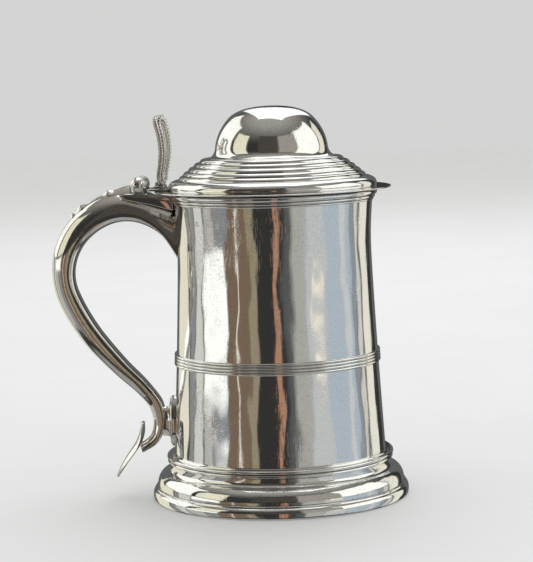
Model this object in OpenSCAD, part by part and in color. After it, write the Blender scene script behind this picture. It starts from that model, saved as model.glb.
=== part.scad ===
// Silver tankard with a domed, hinged lid, an openwork thumbpiece and a hollow scroll handle.
// The origin is the centre of the foot's resting plane, +Z is up and the handle points to -X.

/* [Drum] */
// Radius of the drum where it meets the foot
drum_foot_r = 53; // [52:0.5:54]
// Radius of the drum at its narrowest
waist_r = 47.9; // [47:0.1:49]
// Outer radius of the drum at the mouth
mouth_r = 49.7; // [49:0.1:50.5]
// Height of the narrowest place
waist_z = 125; // [118:1:130]
// Height of the mouth
mouth_z = 151.8; // [151:0.1:152]
// Thickness of the drum wall
wall = 0.9; // [0.8:0.1:1.4]

/* [Foot] */
// Radius of the foot where it rests
foot_r = 63.5; // [60:0.5:66]
// Height of the heavy rim at the bottom of the foot
rim_h = 6.4; // [5:0.1:7]
// Height of the whole foot
foot_h = 18.2; // [17:0.1:19]

/* [Mouldings] */
// Height of the bottom of the girdle round the drum
girdle_z = 66.8; // [55:0.1:90]
// Radius of one reed of the girdle
reed_r = 0.74; // [0.6:0.02:0.9]
// Number of reeds in the girdle
girdle_reeds = 4; // [2:1:6]

/* [Lid] */
// Radius of the lid's flange
flange_r = 58.4; // [57:0.1:60]
// Thickness of the flange
flange_t = 1.2; // [1.1:0.1:1.4]
// Height of the stepped part above the flange
steps_h = 14.6; // [13:0.1:16]
// Radius of the dome at its foot
dome_r = 28; // [26:0.1:29]
// Height of the dome above the steps
dome_h = 25.8; // [20:0.1:30]
// Thickness of the lid's sheet
lid_wall = 1; // [0.8:0.1:1.2]
// Play between the lid and the lip when closed
lid_play = 0.2; // [0.2:0.05:0.4]

/* [Hinge] */
// Distance of the hinge pin from the tankard's axis
hinge_x = 65.8; // [65:0.1:67]
// Height of the hinge pin
hinge_z = 156.5; // [156.5:0.1:158]
// Radius of the knuckles
knuckle_r = 3.85; // [3.5:0.05:4]
// Radius of the hinge pin
pin_r = 1.1; // [0.9:0.05:1.3]
// Running clearance round the pin in the lid's knuckles
pin_play = 0.05; // [0.02:0.01:0.1]
// Length of the whole row of knuckles
barrel_l = 15; // [14:0.5:18]
// Gap between neighbouring knuckles
knuckle_gap = 0.3; // [0.2:0.05:0.5]

/* [Thumbpiece] */
// Height of the thumbpiece above the leaf
thumb_h = 36; // [30:0.5:38]
// Half of the thumbpiece's width at its widest
thumb_w = 12; // [10:0.5:13]
// How far the edges are swept back from the middle
thumb_sweep = 3.4; // [2:0.1:4]
// Diameter of the beads along its edges
bead_d = 1.5; // [1.2:0.1:1.8]

/* [Handle] */
// Thickness of the handle's sheet
handle_wall = 0.9; // [0.7:0.1:1.2]
// Half of the shield's width
shield_w = 7; // [5:0.5:8]
// Thickness of the shield
shield_t = 1.3; // [1:0.1:1.6]
// Half of the height of the oval boss
boss_h = 13; // [10:0.5:14]
// Half of the width of the oval boss
boss_w = 7.5; // [6:0.5:9]

/* [Hidden] */

silver = [0.83, 0.82, 0.79];
pale_silver = [0.88, 0.87, 0.85];
steel = [0.6, 0.6, 0.62];
round_fn = 96;
reed_fn = 32;

drum_z0 = 17;                    // the drum's lower edge, inside the foot wire
floor_z = 19;                    // underside of the drum's floor
floor_t = 1;
steps_z = mouth_z + lid_play + flange_t;
dome_z = steps_z + steps_h;

// The drum's outer radius: a slightly hollow taper below the waist and a soft flare above it.
function drum_r(z) = z < waist_z
    ? waist_r + (drum_foot_r - waist_r) * pow((waist_z - z) / (waist_z - foot_h), 1.25)
    : waist_r + (mouth_r - waist_r) * pow((z - waist_z) / (mouth_z - waist_z), 2);

// Points of a cubic Bezier curve with n steps.
function bezier(a, b, c, d, n) = [for (i = [0:n]) let (t = i / n, s = 1 - t)
    s * s * s * a + 3 * s * s * t * b + 3 * s * t * t * c + t * t * t * d];

// A value of a Catmull-Rom spline through the rows of a list, at u counted in rows.
function spline(rows, u) =
    let (last = len(rows) - 1, i = min(max(floor(u), 0), last - 1), t = u - i,
         p0 = rows[max(i - 1, 0)], p1 = rows[i], p2 = rows[i + 1], p3 = rows[min(i + 2, last)])
    0.5 * (2 * p1 + (p2 - p0) * t + (2 * p0 - 5 * p1 + 4 * p2 - p3) * t * t
           + (3 * p1 - p0 - 3 * p2 + p3) * t * t * t);

// Triangles that close a ring of n points by lacing its first half to its second.
function laced(n) = [for (j = [0:floor(n / 2) - 1]) each
    [for (face = [[j, j + 1, n - 1 - j], [j + 1, n - 2 - j, n - 1 - j]])
        if (face[0] != face[1] && face[1] != face[2]) face]];

// Skins a list of rings that have the same number of points, with both ends closed.
module skin(rings) {
    n = len(rings[0]);
    last = len(rings) - 1;
    polyhedron(
        points = [for (ring = rings) each ring],
        faces = concat(
            laced(n),
            [for (i = [0:last - 1], j = [0:n - 1]) let (k = (j + 1) % n)
                [i * n + j, (i + 1) * n + j, (i + 1) * n + k, i * n + k]],
            [for (face = laced(n)) [for (k = [2, 1, 0]) last * n + face[k]]]));
}

// A closed loop of rings, such as a bar bent into an eye.
module skin_loop(rings) {
    n = len(rings[0]);
    m = len(rings);
    polyhedron(
        points = [for (ring = rings) each ring],
        faces = [for (i = [0:m - 1], j = [0:n - 1]) let (k = (j + 1) % n, l = (i + 1) % m)
            [i * n + j, l * n + j, l * n + k, i * n + k]]);
}

// ---- Drum and foot ----

drum_steps = 26;
function drum_outline(inset) =
    [for (i = [0:drum_steps]) let (z = drum_z0 + (mouth_z - drum_z0) * i / drum_steps)
        [drum_r(z) - inset, z]];

// Half of the drum's section, filled: what sits on the drum is cut back to it.
module drum_section() {
    polygon(concat([[0, drum_z0]], drum_outline(0), [[0, mouth_z]]));
}
module drum_core() {
    rotate_extrude($fn = round_fn) drum_section();
}

module drum() {
    color(silver) rotate_extrude($fn = round_fn)
        polygon(concat(drum_outline(0), [for (p = [drum_steps:-1:0]) drum_outline(wall)[p]]));
}

module drum_floor() {
    color(pale_silver) translate([0, 0, floor_z])
        cylinder(r1 = drum_r(floor_z) - wall, r2 = drum_r(floor_z + floor_t) - wall,
                 h = floor_t, $fn = round_fn);
}

// Reeds round the drum, each a row of outer radius, height above z0 and its own radius, on
// backing bands, each a row of inner radius, height above z0, depth and width.
module reeded_band(z0, reeds, bands) {
    color(silver) rotate_extrude($fn = round_fn) difference() {
        union() {
            for (row = reeds)
                translate([row[0] - row[2], z0 + row[1]]) circle(r = row[2], $fn = reed_fn);
            for (row = bands)
                translate([row[0], z0 + row[1]]) square([row[2], row[3]]);
        }
        drum_section();
    }
}

reed_stand = 1.5;                // how far a girdle reed stands out, in reed radii
girdle_rows = [for (i = [0:girdle_reeds - 1]) let (z = (2 * i + 1) * reed_r)
    [drum_r(girdle_z + z) + reed_stand * reed_r, z, reed_r]];
girdle_bands = [[drum_foot_r - 4, reed_r, 1.8, 2 * reed_r * (girdle_reeds - 1)]];
module girdle() { reeded_band(girdle_z, girdle_rows, girdle_bands); }

lip_h = 5.4;
lip_rows = [[49.7, 0.5, 0.5], [50.4, 1.9, 0.8], [51.5, 4, 1.3]];
lip_bands = [[47, 0.4, 2.9, 1.6], [47, 1.4, 3.2, lip_h - 1.4]];
module lip_moulding() { reeded_band(mouth_z - lip_h, lip_rows, lip_bands); }

// The wire covers the joint between the drum and the foot.
wire_rows = [[56.2, 0.9, 0.9], [56.5, 2.9, 0.9]];
wire_bands = [[50, 0, 5.5, 4], [50, 3.6, 4.2, 0.9]];
module foot_wire() { reeded_band(foot_h, wire_rows, wire_bands); }

foot_cove = bezier([55.6, foot_h], [54.9, 15.4], [55.9, 14.6], [57.2, 13.9], 6);
foot_ovolo = bezier([57.2, 13.9], [60.2, 12.9], [61.4, 10.2], [61.6, 7.2], 8);
foot_inside = bezier([60.6, 7.4], [60.4, 10], [59.4, 12], [56.6, 12.9], 6);
ledge_r = drum_foot_r - 1;       // the drum stands on a ledge inside the foot
ledge_z = 15.6;
module foot_shell() {
    color(silver) rotate_extrude($fn = round_fn) difference() {
        polygon(concat(foot_cove, [for (i = [1:8]) foot_ovolo[i]],
                       [[61.6, rim_h], [60.6, rim_h]], foot_inside,
                       [[54.6, 14], [ledge_r, ledge_z], [ledge_r, foot_h]]));
        drum_section();
    }
}

module foot_rim() {
    side = bezier([foot_r, 0], [foot_r + 0.8, 2.2], [foot_r + 0.3, 4.6], [foot_r - 1, 5.2], 6);
    color(silver) rotate_extrude($fn = round_fn)
        polygon(concat([[foot_r - 2.2, 0]], side,
                       [[foot_r - 1.2, rim_h], [foot_r - 3, rim_h], [foot_r - 3, 5.2],
                        [foot_r - 1.9, 3.6]]));
}

// ---- Handle ----

// Rows along the handle from the drum to the tail: the seam's distance from the axis and its
// height, the crest of the back's distance and height, how far the strap swells inwards, and
// half of the width.
handle_rows = [
    [47.6, 121.3, 49.0, 143.4, 2.8, 8.6],
    [55.4, 132.9, 59.3, 148.0, 3.0, 8.4],
    [65.1, 139.6, 67.0, 151.0, 3.1, 8.2],
    [75.2, 141.3, 76.5, 152.6, 3.1, 8.0],
    [85.6, 138.3, 89.4, 148.8, 3.0, 7.8],
    [94.9, 131.0, 102.2, 138.8, 2.6, 7.6],
    [100.6, 121.2, 109.9, 124.8, 2.2, 7.4],
    [102.0, 110.2, 111.3, 111.0, 1.9, 7.2],
    [98.6, 99.4, 107.9, 96.8, 1.6, 6.9],
    [90.0, 84.6, 97.3, 78.6, 1.3, 6.4],
    [77.6, 69.0, 83.4, 63.4, 1.1, 5.8],
    [67.8, 58.8, 73.1, 54.1, 0.9, 5.3],
    [62.6, 52.6, 68.4, 49.4, 0.8, 5.0]];
// The same for the solid tail, which curls out below the boss to carry the shield.
tail_rows = [
    [62.6, 52.6, 68.4, 49.4, 0.8, 5.0],
    [58.9, 46.6, 65.0, 44.6, 0.8, 4.8],
    [57.8, 38.4, 63.2, 37.8, 0.8, 4.6],
    [59.6, 30.8, 64.2, 31.8, 0.8, 4.4],
    [63.2, 25.9, 66.8, 28.6, 0.8, 4.2],
    [69.0, 22.6, 70.2, 26.6, 0.8, 3.8]];

arc_n = 12;
strap_n = 8;
handle_steps = 44;

// One point of the handle's skin: a runs from 0 to 180 over the rounded back and from 180 to
// 360 under the strap; inset shrinks the back towards the seam and raise lifts it.
function handle_point(row, a, inset = 0, raise = 0) =
    let (seam = [row[0], row[1]], crest = [row[2], row[3]], d = norm(crest - seam),
         dir = (crest - seam) / d, w = row[5] - inset,
         up = a <= 180 ? (d - inset + raise) * sin(a) : row[4] * sin(a),
         p = seam + dir * up)
    [-p[0], w * cos(a), p[1]];

// The first ring is laid on the drum's own surface.
function on_drum(p) = [-sqrt(pow(drum_r(p[2]), 2) - p[1] * p[1]), p[1], p[2]];
function handle_row(i) = spline(handle_rows, i / handle_steps * (len(handle_rows) - 1));
function laid(i, points) = i == 0 ? [for (p = points) on_drum(p)] : points;
function handle_ring(i, angles, inset = 0) =
    laid(i, [for (a = angles) handle_point(handle_row(i), a, inset)]);
// Points across the seam, where the strap meets the back's open side.
function seam_ring(i) = laid(i, [for (j = [1:strap_n - 1]) let (row = handle_row(i))
    [-row[0], row[5] * cos(180 * j / strap_n), row[1]]]);

back_angles = [for (j = [0:arc_n]) 180 * j / arc_n];
strap_angles = [for (j = [0:strap_n]) 180 + 180 * j / strap_n];

module handle_back() {
    color(silver) skin([for (i = [0:handle_steps])
        concat(handle_ring(i, back_angles),
               [for (j = [arc_n:-1:0]) handle_ring(i, back_angles, handle_wall)[j]])]);
}

module handle_strap() {
    color(pale_silver)
        skin([for (i = [0:handle_steps]) concat(handle_ring(i, strap_angles), seam_ring(i))]);
}

module handle_tail() {
    steps = 18;
    sides = 20;
    angles = [for (j = [0:sides - 1]) 360 * j / sides];
    color(silver) skin([for (i = [0:steps])
        let (row = spline(tail_rows, i / steps * (len(tail_rows) - 1)))
        [for (a = angles) handle_point(row, a)]]);
}

// The drop is a tapering strip down the crest of the handle from the hinge, with lobes on it.
drop_from = 2.4;
drop_to = 5.0;
drop_ramp = 0.4;                 // share of its run over which it climbs to the hinge
drop_climb = 3.3;                // how far it has climbed when it meets the hinge
drop_steps = 34;
drop_angles = [60, 70, 80, 90, 100, 110, 120];
drop_edge = 0.15;                // how much of its height the drop keeps at its edges
drop_round = 2.9;                // how fast it falls from the crest to the edges
function lobe(s, centre, width) = exp(-pow((s - centre) / width, 2));
function climb(s) = pow(max(0, 1 - s / drop_ramp), 1.2);
function drop_height(s) = 0.9 + drop_climb * climb(s) + 1.3 * lobe(s, 0.39, 0.055)
    + 1.3 * lobe(s, 0.79, 0.045) + 1 * lobe(s, 0.92, 0.03) - 0.8 * pow(s, 8);
function drop_width(s) = 0.62 - 0.3 * s + 0.7 * climb(s) + 0.2 * lobe(s, 0.39, 0.06)
    + 0.16 * lobe(s, 0.79, 0.05) + 0.12 * lobe(s, 0.92, 0.035);
module handle_drop() {
    color(pale_silver) skin([for (i = [0:drop_steps])
        let (s = i / drop_steps, row = spline(handle_rows, drop_from + (drop_to - drop_from) * s))
        concat(
            [for (a = drop_angles) let (b = 90 + (a - 90) * drop_width(s))
                handle_point(row, b, 0, drop_height(s)
                    * (drop_edge + (1 - drop_edge) * cos((a - 90) * drop_round)))],
            [for (j = [len(drop_angles) - 1:-1:0])
                let (b = 90 + (drop_angles[j] - 90) * drop_width(s))
                handle_point(row, b, drop_edge)])]);
}

// The shield at the tail: a thin plate, round at the top, pointed below and bowed outwards.
// Its path runs down its middle as distance from the axis and height.
shield_path = [[69.3, 37.2], [69.6, 31], [71.6, 25.2], [75.4, 19.8], [79.4, 14.6], [82.9, 10]];
shield_bow = 1.9;
shield_look = 0.02;              // step along the path used to find its direction
function shield_half(s) = shield_w * pow(sin(180 * pow(0.02 + 0.965 * s, 0.72)), 0.62);
module terminal_shield() {
    steps = 22;
    across = 8;
    color(pale_silver) skin([for (i = [0:steps])
        let (s = i / steps, row = spline(shield_path, s * (len(shield_path) - 1)),
             next = spline(shield_path, min(s + shield_look, 1) * (len(shield_path) - 1)),
             before = spline(shield_path, max(s - shield_look, 0) * (len(shield_path) - 1)),
             run = (next - before) / norm(next - before), out = [-run[1], run[0]],
             w = shield_half(s), bow = shield_bow * sin(180 * s))
        concat(
            [for (j = [0:across]) let (v = 1 - 2 * j / across, p = row + out * bow * (1 - v * v))
                [-p[0], w * v, p[1]]],
            [for (j = [across:-1:0])
                let (v = 1 - 2 * j / across, p = row + out * (bow * (1 - v * v) - shield_t))
                [-p[0], w * v, p[1]]])]);
}

boss_z = 37.3;
boss_back = 49;                  // inside the drum's surface; the drum is cut away from it
boss_face = 54.5;
stem_face = 58.4;
stem_w = 3.6;
stem_h = 7.4;
// A flat oval standing on end, pushed out along -X.
module oval(w, h, from, to) {
    translate([-to, 0, boss_z]) rotate([90, 0, 90]) linear_extrude(to - from)
        polygon([for (a = [0:10:350]) [w * cos(a), h * sin(a)]]);
}

module boss_plate() {
    color(silver) difference() {
        oval(boss_w, boss_h, boss_back, boss_face);
        drum_core();
    }
}

// The stem is soldered to the boss and let into the tail.
module boss_stem() {
    color(silver) oval(stem_w, stem_h, boss_face, stem_face);
}

// ---- Hinge ----

knuckle_outer = 3.1;
knuckle_mid = 2.6;
knuckle_foot_w = 5.2;
knuckle_foot_t = 2;
standard_w = 7.4;
standard_top = hinge_z - knuckle_r - 0.5;
lip_clear_r = 51.6;              // the standard is cut back to clear the lip moulding
lid_knuckle_l = barrel_l / 2 - knuckle_outer - knuckle_gap - (knuckle_mid / 2 + knuckle_gap);

// The wedge soldered on the handle's shoulder, under the hinge.
module hinge_standard() {
    color(silver) difference() {
        rotate([90, 0, 0]) linear_extrude(2 * standard_w, center = true)
            polygon([[-76, 151.4], [-72, 149], [-58, 146], [-50, 143.6], [-47.5, 143.6],
                     [-47.5, 150.2], [-59.5, 151], [-62, standard_top], [-72, standard_top]]);
        drum_core();
        translate([0, 0, mouth_z - lip_h - 1]) cylinder(r = lip_clear_r, h = lip_h + 2, $fn = round_fn);
    }
}

// A ring of the hinge from y0 to y1, with a bore for the pin.
module ring(y0, y1, bore) {
    difference() {
        union() {
            translate([-hinge_x, y0, hinge_z]) rotate([-90, 0, 0])
                cylinder(r = knuckle_r, h = y1 - y0, $fn = round_fn);
            children();
        }
        translate([-hinge_x, y0 - 1, hinge_z]) rotate([-90, 0, 0])
            cylinder(r = bore, h = y1 - y0 + 2, $fn = round_fn);
    }
}

module fixed_knuckle(y0, y1) {
    color(silver) ring(y0, y1, pin_r)
        translate([-hinge_x - knuckle_foot_w / 2, y0, standard_top])
            cube([knuckle_foot_w, y1 - y0, knuckle_foot_t]);
}

module knuckle_left() { fixed_knuckle(-barrel_l / 2, -barrel_l / 2 + knuckle_outer); }
module knuckle_centre() { fixed_knuckle(-knuckle_mid / 2, knuckle_mid / 2); }
module knuckle_right() { fixed_knuckle(barrel_l / 2 - knuckle_outer, barrel_l / 2); }

module hinge_pin() {
    color(steel) translate([-hinge_x, -barrel_l / 2, hinge_z]) rotate([-90, 0, 0])
        cylinder(r = pin_r, h = barrel_l, $fn = round_fn);
}

// A domed cap closes each end of the row.
module pin_cap(side) {
    color(pale_silver) translate([-hinge_x, side * barrel_l / 2, hinge_z]) rotate([-90 * side, 0, 0])
        rotate_extrude($fn = round_fn) intersection() {
            circle(r = knuckle_r, $fn = round_fn);
            square(knuckle_r);
        }
}
module pin_cap_left() { pin_cap(-1); }
module pin_cap_right() { pin_cap(1); }

// ---- Lid ----

leaf_x = hinge_x - knuckle_r - 0.45;
leaf_w = 8.2;
leaf_t = 1.2;
leaf_end_r = 52;                 // the leaf stops at the foot of the steps

flange_inner_r = 45.3;
flange_nose = 0.35;              // how far the flange's rounded edge stands out
flange_flat_r = flange_r - 0.3;
flange_seat_r = 52.6;            // the underside is flat out to here, then rises to the edge
flange_rise = 0.5;
module lid_flange() {
    z0 = steps_z - flange_t;
    color(silver) rotate_extrude($fn = round_fn)
        polygon(concat([[flange_inner_r, z0], [flange_seat_r, z0]],
                       [for (a = [-60:30:60])
                            [flange_r - flange_nose * (1 - cos(a)),
                             z0 + flange_rise + (flange_t - flange_rise) / 2 * (1 + sin(a))]],
                       [[flange_flat_r, steps_z], [flange_inner_r, steps_z]]));
}

// The ring under the lid that drops inside the mouth.
bezel_h = 4.8;
module lid_bezel() {
    color(silver) translate([0, 0, steps_z - flange_t - bezel_h]) rotate_extrude($fn = round_fn)
        polygon([[45.4, 0], [46.2, 0.6], [46.5, bezel_h], [flange_inner_r, bezel_h], [45.1, 0.4]]);
}

// Reeds of the stepped part: radius, height above the flange and radius of the reed itself.
step_reeds = [[45.8, 5.9, 1.05], [43.6, 7.9, 1.1], [41, 10, 1.15], [38.2, 12.1, 1.15],
              [35.2, 14, 1.1]];
step_ovolo = bezier([51.3, 0], [52.2, 2.6], [50.4, 4.9], [46.4, 5.2], 8);
module lid_steps() {
    color(silver) translate([0, 0, steps_z]) rotate_extrude($fn = round_fn) {
        for (reed = step_reeds)
            translate([reed[0] - reed[2], reed[1]]) circle(r = reed[2], $fn = reed_fn);
        polygon(concat(step_ovolo,
                       [[33.6, steps_h], [dome_r - 2.2, steps_h],
                        [dome_r - 2.2, steps_h - lid_wall], [33, steps_h - lid_wall],
                        [45.8, 4.2], [49.2, 4], [50.3, 2.2], [50.2, 0]]));
    }
}

// The dome: steep sides that lean in slightly, a round shoulder and a flattish crown.
dome_side = bezier([dome_r, 1.4], [dome_r - 0.5, 8.6], [dome_r - 2.9, 15.5], [dome_r - 7.2, 20.1], 8);
dome_crown = bezier([dome_r - 7.2, 20.1], [dome_r - 11.4, 24.5], [dome_r - 19.5, dome_h], [0, dome_h],
                    10);
module lid_dome() {
    outer = concat([[dome_r + 3.4, 0]],
                   bezier([dome_r + 3.4, 0.5], [dome_r + 0.8, 0.4], [dome_r, 0.6], [dome_r, 1.4], 4),
                   [for (i = [1:8]) dome_side[i]], [for (i = [1:10]) dome_crown[i]]);
    k = (dome_r - lid_wall) / dome_r;
    inner = concat([[0, dome_h - lid_wall]],
                   [for (i = [9:-1:1]) [dome_crown[i][0] * k, dome_crown[i][1] - lid_wall]],
                   [for (i = [8:-1:0]) [dome_side[i][0] - lid_wall, dome_side[i][1] - lid_wall]]);
    color(silver) translate([0, 0, dome_z]) rotate_extrude($fn = round_fn)
        polygon(concat(outer, inner, [[dome_r - lid_wall, 0]]));
}

// The leaf is soldered on the flange and carries the thumbpiece.
module lid_leaf() {
    color(silver) difference() {
        translate([-leaf_x, -leaf_w, steps_z]) cube([leaf_x, 2 * leaf_w, leaf_t]);
        translate([0, 0, steps_z - 1]) cylinder(r = leaf_end_r, h = leaf_t + 2, $fn = round_fn);
    }
}

module lid_knuckle(y0, y1) {
    color(silver) ring(y0, y1, pin_r + pin_play)
        translate([-hinge_x, y0, steps_z]) cube([hinge_x - leaf_x, y1 - y0, leaf_t]);
}
lid_knuckle_y = knuckle_mid / 2 + knuckle_gap;
module lid_knuckle_left() { lid_knuckle(-lid_knuckle_y - lid_knuckle_l, -lid_knuckle_y); }
module lid_knuckle_right() { lid_knuckle(lid_knuckle_y, lid_knuckle_y + lid_knuckle_l); }

// ---- Thumbpiece ----

thumb_z = steps_z + leaf_t;
// The front of the thumbpiece in the middle: distance from the axis at even steps of height.
thumb_front = [53.2, 52.3, 51, 50.2, 50.3, 51.2, 52.8];
// The two eyes stand side by side; each is a bar bent round a long slot with round ends.
eye_y = 6.1;
eye_r = 4.1;
eye_side = 22.4;
eye_z = 19.2;
eye_narrow = 0.74;               // the eyes' spread at the leaf, as a share
eye_widen = 0.27;                // what they gain in spread up to the top
bar_section = [[-1.7, 0.35], [-0.85, 0], [0.85, 0], [1.7, 0.35], [1.7, 2.1], [-1.7, 2.1]];
bead_count = 40;
bead_sink = 0.1;

function thumb_x(y, h) = spline(thumb_front, h / thumb_h * (len(thumb_front) - 1))
    + thumb_sweep * pow(y / thumb_w, 2);
// A point of the eye at u from 0 to 1 along its middle line, moved outwards by out.
function slot_at(u, out) =
    let (bend = PI * eye_r, whole = 2 * (eye_side + bend), s = u * whole, half = eye_side / 2)
    s < eye_side ? [eye_r + out, s - half]
    : s < eye_side + bend ? let (a = (s - eye_side) / eye_r * 180 / PI)
        [(eye_r + out) * cos(a), half + (eye_r + out) * sin(a)]
    : s < 2 * eye_side + bend ? [-eye_r - out, half - (s - eye_side - bend)]
    : let (a = 180 + (s - 2 * eye_side - bend) / eye_r * 180 / PI)
        [(eye_r + out) * cos(a), -half + (eye_r + out) * sin(a)];
// The eyes narrow towards the leaf.
function eye_at(u, out) = let (p = slot_at(u, out), h = eye_z + p[1])
    [(eye_y + p[0]) * (eye_narrow + eye_widen * h / thumb_h), h];

module thumb_eye(side) {
    skin_loop([for (i = [0:bead_count - 1]) let (u = (side > 0 ? i : bead_count - i) / bead_count)
        [for (c = bar_section) let (p = eye_at(u % 1, c[0]))
            [-(thumb_x(p[0], p[1]) + c[1]), side * p[0], thumb_z + p[1]]]]);
}

module thumb_frame() {
    color(pale_silver) { thumb_eye(1); thumb_eye(-1); }
}

// A small stepped block joins the thumbpiece to the leaf: rows of inset, height, size.
thumb_foot_x = 58.4;
thumb_foot_steps = [[0, 0, [5.2, 13, 1.4]], [0.7, 1.4, [3.8, 10.4, 1.9]]];
module thumb_foot() {
    color(silver) for (step = thumb_foot_steps)
        translate([step[0] - thumb_foot_x, -step[2][1] / 2, thumb_z + step[1]]) cube(step[2]);
}

module thumb_beads() {
    color(pale_silver)
        for (side = [-1, 1], i = [0:bead_count - 1]) let (p = eye_at((i + 0.5) / bead_count, 0))
            translate([-(thumb_x(p[0], p[1]) + bead_sink), side * p[0], thumb_z + p[1]])
                sphere(d = bead_d, $fn = 20);
}

drum();
drum_floor();
lip_moulding();
girdle();
foot_wire();
foot_shell();
foot_rim();
handle_back();
handle_strap();
handle_drop();
handle_tail();
terminal_shield();
boss_plate();
boss_stem();
hinge_standard();
knuckle_left();
knuckle_centre();
knuckle_right();
hinge_pin();
pin_cap_left();
pin_cap_right();
lid_dome();
lid_steps();
lid_flange();
lid_bezel();
lid_leaf();
lid_knuckle_left();
lid_knuckle_right();
thumb_foot();
thumb_frame();
thumb_beads();
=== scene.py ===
import bpy, bmesh, math
import numpy as np
from mathutils import Matrix, Vector


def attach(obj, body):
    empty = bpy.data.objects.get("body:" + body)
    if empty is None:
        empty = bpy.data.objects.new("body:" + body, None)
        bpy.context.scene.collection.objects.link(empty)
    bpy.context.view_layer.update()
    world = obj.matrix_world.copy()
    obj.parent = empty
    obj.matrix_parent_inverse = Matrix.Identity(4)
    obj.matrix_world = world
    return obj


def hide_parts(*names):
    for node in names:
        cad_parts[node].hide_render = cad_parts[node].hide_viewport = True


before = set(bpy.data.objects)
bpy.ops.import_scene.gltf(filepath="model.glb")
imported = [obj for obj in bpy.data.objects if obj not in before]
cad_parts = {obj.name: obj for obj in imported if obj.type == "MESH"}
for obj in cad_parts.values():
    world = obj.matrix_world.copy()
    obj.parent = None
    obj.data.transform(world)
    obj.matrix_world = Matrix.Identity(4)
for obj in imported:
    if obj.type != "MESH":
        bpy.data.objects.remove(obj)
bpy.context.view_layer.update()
print("stage: frame loaded,", len(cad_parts), "nodes")

mm = 0.001
scene = bpy.context.scene
creaseAngle = math.radians(40)    # edges sharper than this stay crisp


class Wire:
    # a node socket that can be used in sums; make() adds any other node

    def __init__(self, tree, socket):
        self.tree, self.socket = tree, socket

    @classmethod
    def make(cls, tree, kind, settings=None, values=None, out=0):
        node = tree.nodes.new(kind)
        for key, value in (settings or {}).items():
            setattr(node, key, value)
        for key, value in (values or {}).items():
            if isinstance(value, Wire):
                tree.links.new(value.socket, node.inputs[key])
            else:
                node.inputs[key].default_value = value
        return cls(tree, node.outputs[out]) if len(node.outputs) else None

    def sums(self, operation, a, b):
        return Wire.make(self.tree, "ShaderNodeMath", {"operation": operation}, {0: a, 1: b})

    def __add__(self, other): return self.sums("ADD", self, other)
    def __radd__(self, other): return self.sums("ADD", other, self)
    def __sub__(self, other): return self.sums("SUBTRACT", self, other)
    def __rsub__(self, other): return self.sums("SUBTRACT", other, self)
    def __mul__(self, other): return self.sums("MULTIPLY", self, other)
    def __rmul__(self, other): return self.sums("MULTIPLY", other, self)
    def size(self): return self.sums("ABSOLUTE", self, 0.0)

    def between(self, low, high):
        # 0 at low, 1 at high, held flat outside; low may be the greater
        return Wire.make(self.tree, "ShaderNodeMapRange", {"interpolation_type": "SMOOTHSTEP"},
                         {"Value": self, "From Min": low, "From Max": high})

    def dyed(self, a, b):
        # colour a where this is 0, colour b where it is 1
        return Wire.make(self.tree, "ShaderNodeMix", {"data_type": "RGBA"}, {0: self, 6: a, 7: b}, 2)


def noise(tree, place, stretch, turn=(0, 0, 0), detail=2.0):
    laid = Wire.make(tree, "ShaderNodeMapping", None,
                     {"Vector": place, "Rotation": [math.radians(a) for a in turn],
                      "Scale": stretch})
    return Wire.make(tree, "ShaderNodeTexNoise", None,
                     {"Vector": laid, "Scale": 1.0, "Detail": detail, "Roughness": 0.55})


def bearingAndUp(tree, vector):
    # the angle round Z from -Y towards +X, in radians, and the upward part
    apart = tree.nodes.new("ShaderNodeSeparateXYZ")
    tree.links.new(vector.socket, apart.inputs[0])
    x, y, z = (Wire(tree, s) for s in apart.outputs)
    return x.sums("ARCTAN2", x, y * -1.0), z


# three sets of hairline scratches: how the set is turned, and its stretch on each axis
hairSets = [((14, 9, 25), (1500, 1500, 90)), ((38, 12, 60), (90, 1300, 1300)),
            ((-52, 8, -20), (1700, 1700, 110))]


# five struck marks high on the drum: degrees round it, height on the drum, width and height
# of the punch; and how soft their edges are
punches = [(-45.3, 138.4, 2.2, 2.4), (-35.4, 138.7, 4.0, 4.2), (-29.7, 138.8, 2.6, 4.2),
           (-23.6, 139.0, 3.4, 4.0), (-18.2, 139.2, 3.4, 4.0)]
punchSoft = 0.3 * mm


def struck(tree, place, radius):
    # the sunk ground of the punches, with a worn device in each
    bearing, up = bearingAndUp(tree, place)
    bearing = bearing * (radius * mm)
    ground = None
    for degrees, z, width, tall in punches:
        across = (bearing - math.radians(degrees) * radius * mm).size()
        along = (up - z * mm).size()
        one = (across.between(width * mm / 2, width * mm / 2 - punchSoft)
               * along.between(tall * mm / 2, tall * mm / 2 - punchSoft))
        ground = one if ground is None else ground + one
    device = noise(tree, place, (820, 820, 820), detail=0.0).between(0.5, 0.58)
    return ground * (1 - 0.85 * device)


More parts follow.
